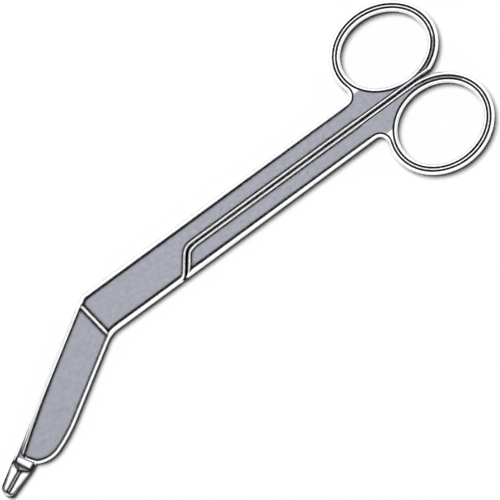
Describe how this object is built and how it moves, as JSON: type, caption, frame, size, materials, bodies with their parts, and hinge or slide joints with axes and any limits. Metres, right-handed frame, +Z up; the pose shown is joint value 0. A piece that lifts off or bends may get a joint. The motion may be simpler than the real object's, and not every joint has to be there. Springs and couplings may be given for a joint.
{
  "type": "bandage scissors",
  "caption": "Angled bandage scissors with flat lapped blades, a blunt probe tip on the longer blade and oval finger rings.",
  "frame": {"origin": "on the pivot's axis, in the plane that the scissors lie on", "axes": "+X along the seam between the closed shanks towards the finger rings, +Y towards the shank of the upper half, +Z up along the pivot's axis"},
  "size_m": [0.1837, 0.0554, 0.0044],
  "materials": {
    "upper_half": "satin",
    "probe_half": "satin",
    "pivot_screw": "satin"
  },
  "bodies": {
    "probe_side": {"probe_half": "probe_half"},
    "upper_side": {"upper_half": "upper_half", "pivot_screw": "pivot_screw"}
  },
  "joints": [
    {"name": "pivot", "type": "hinge", "parent": "probe_side", "child": "upper_side", "pos_m": [0, 0, 0], "axis": [0, 0, 1], "range_deg": [0, 70]}
  ]
}
